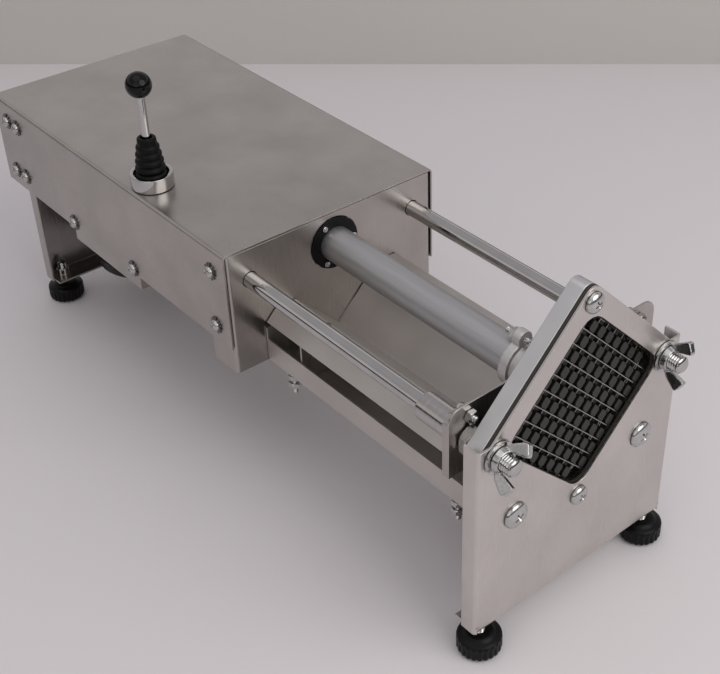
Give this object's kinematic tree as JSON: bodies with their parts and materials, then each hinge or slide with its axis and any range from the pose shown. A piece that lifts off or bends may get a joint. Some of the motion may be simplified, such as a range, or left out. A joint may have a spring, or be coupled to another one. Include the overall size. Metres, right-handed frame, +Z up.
{
  "type": "electric french fry cutter",
  "caption": "Stainless bench fry cutter: a screw-driven tube presses a finger block through a square blade grid set on its corner, with a lever switch on the housing.",
  "frame": {"origin": "on the floor, under the centre of the bounding box", "axes": "+X towards the blades, +Y to the side away from the lever, +Z up"},
  "size_m": [0.514, 0.1584, 0.236],
  "materials": {
    "brushed_stainless": "fine brushed, half mirror",
    "polished_steel": "bright",
    "satin_aluminium": "satin",
    "cast_aluminium": "as cast",
    "bronze": "machined",
    "black_plastic": "matt",
    "black_gloss_plastic": "gloss",
    "black_rubber": "matt",
    "black_painted_steel": "satin black paint"
  },
  "bodies": {
    "chassis": {"front_panel": "brushed_stainless", "seal_sheet": "black_rubber", "head_plate": "satin_aluminium", "blade_grid": "polished_steel", "head_screw_bottom": "polished_steel", "head_screw_top": "polished_steel", "panel_screw_near": "polished_steel", "panel_screw_far": "polished_steel", "guide_rod_near": "polished_steel", "rod_nut_near": "polished_steel", "rod_washer_near": "polished_steel", "guide_rod_far": "polished_steel", "rod_nut_far": "polished_steel", "rod_washer_far": "polished_steel", "bulkhead": "brushed_stainless", "housing_cover": "brushed_stainless", "rear_leg_panel": "brushed_stainless", "rear_cover": "brushed_stainless", "power_inlet": "black_plastic", "trough": "brushed_stainless", "rail_near": "brushed_stainless", "rail_far": "brushed_stainless", "saddle_rear": "brushed_stainless", "saddle_front": "brushed_stainless", "drive_end_cap": "black_plastic", "drive_tube": "satin_aluminium", "gearbox_case": "cast_aluminium", "gearbox_lid": "cast_aluminium", "screw_bearing_front": "polished_steel", "screw_bearing_rear": "polished_steel", "motor_can": "black_painted_steel", "electronics_tray": "brushed_stainless", "power_supply": "satin_aluminium", "lever_collar": "polished_steel", "lever_boot": "black_rubber", "switch_body": "black_plastic"},
    "pusher": {"pusher_plate": "brushed_stainless", "finger_block": "black_plastic", "tube_flange": "cast_aluminium", "push_tube": "satin_aluminium", "drive_nut": "polished_steel", "bushing_near": "satin_aluminium", "plate_bolt_near": "polished_steel", "bushing_far": "satin_aluminium", "plate_bolt_far": "polished_steel"},
    "lead_screw": {"lead_screw": "polished_steel", "worm_wheel": "bronze"},
    "worm": {"worm_shaft": "polished_steel"},
    "lever": {"lever_stem": "polished_steel", "lever_ball": "black_gloss_plastic"},
    "wing_nut_near": {"wing_nut_near": "polished_steel"},
    "wing_nut_far": {"wing_nut_far": "polished_steel"},
    "foot_front_near": {"foot_knob_front_near": "black_plastic", "foot_stud_front_near": "polished_steel"},
    "foot_front_far": {"foot_knob_front_far": "black_plastic", "foot_stud_front_far": "polished_steel"},
    "foot_rear_near": {"foot_knob_rear_near": "black_plastic", "foot_stud_rear_near": "polished_steel"},
    "foot_rear_far": {"foot_knob_rear_far": "black_plastic", "foot_stud_rear_far": "polished_steel"}
  },
  "joints": [
    {"name": "pusher_slide", "type": "slide", "parent": "chassis", "child": "pusher", "axis": [1, 0, 0], "range_m": [-0.14, 0]},
    {"name": "screw_spin", "type": "hinge", "parent": "chassis", "child": "lead_screw", "pos_m": [-0.1796, 0, 0.139], "axis": [1, 0, 0], "continuous": true},
    {"name": "worm_spin", "type": "hinge", "parent": "chassis", "child": "worm", "pos_m": [-0.1796, -0.0203, 0.139], "axis": [0, 0, 1], "continuous": true},
    {"name": "lever_tilt", "type": "hinge", "parent": "chassis", "child": "lever", "pos_m": [-0.068, -0.0636, 0.164], "axis": [0, 1, 0], "range_deg": [-18, 18], "stiffness_Nm_per_rad": 0.15, "deforming": ["lever_boot"]},
    {"name": "wing_nut_near_turn", "type": "hinge", "parent": "chassis", "child": "wing_nut_near", "pos_m": [0.2464, -0.062, 0.139], "axis": [1, 0, 0], "continuous": true},
    {"name": "wing_nut_far_turn", "type": "hinge", "parent": "chassis", "child": "wing_nut_far", "pos_m": [0.2464, 0.062, 0.139], "axis": [1, 0, 0], "continuous": true},
    {"name": "foot_front_near_turn", "type": "hinge", "parent": "chassis", "child": "foot_front_near", "pos_m": [0.2347, -0.066, 0.0135], "axis": [0, 0, 1], "continuous": true},
    {"name": "foot_front_far_turn", "type": "hinge", "parent": "chassis", "child": "foot_front_far", "pos_m": [0.2347, 0.066, 0.0135], "axis": [0, 0, 1], "continuous": true},
    {"name": "foot_rear_near_turn", "type": "hinge", "parent": "chassis", "child": "foot_rear_near", "pos_m": [-0.2256, -0.066, 0.0135], "axis": [0, 0, 1], "continuous": true},
    {"name": "foot_rear_far_turn", "type": "hinge", "parent": "chassis", "child": "foot_rear_far", "pos_m": [-0.2256, 0.066, 0.0135], "axis": [0, 0, 1], "continuous": true}
  ],
  "couplings": [
    {"joint": "screw_spin", "follows": "pusher_slide", "rad_per_m": 628.32},
    {"joint": "worm_spin", "follows": "pusher_slide", "rad_per_m": 6283.2}
  ]
}
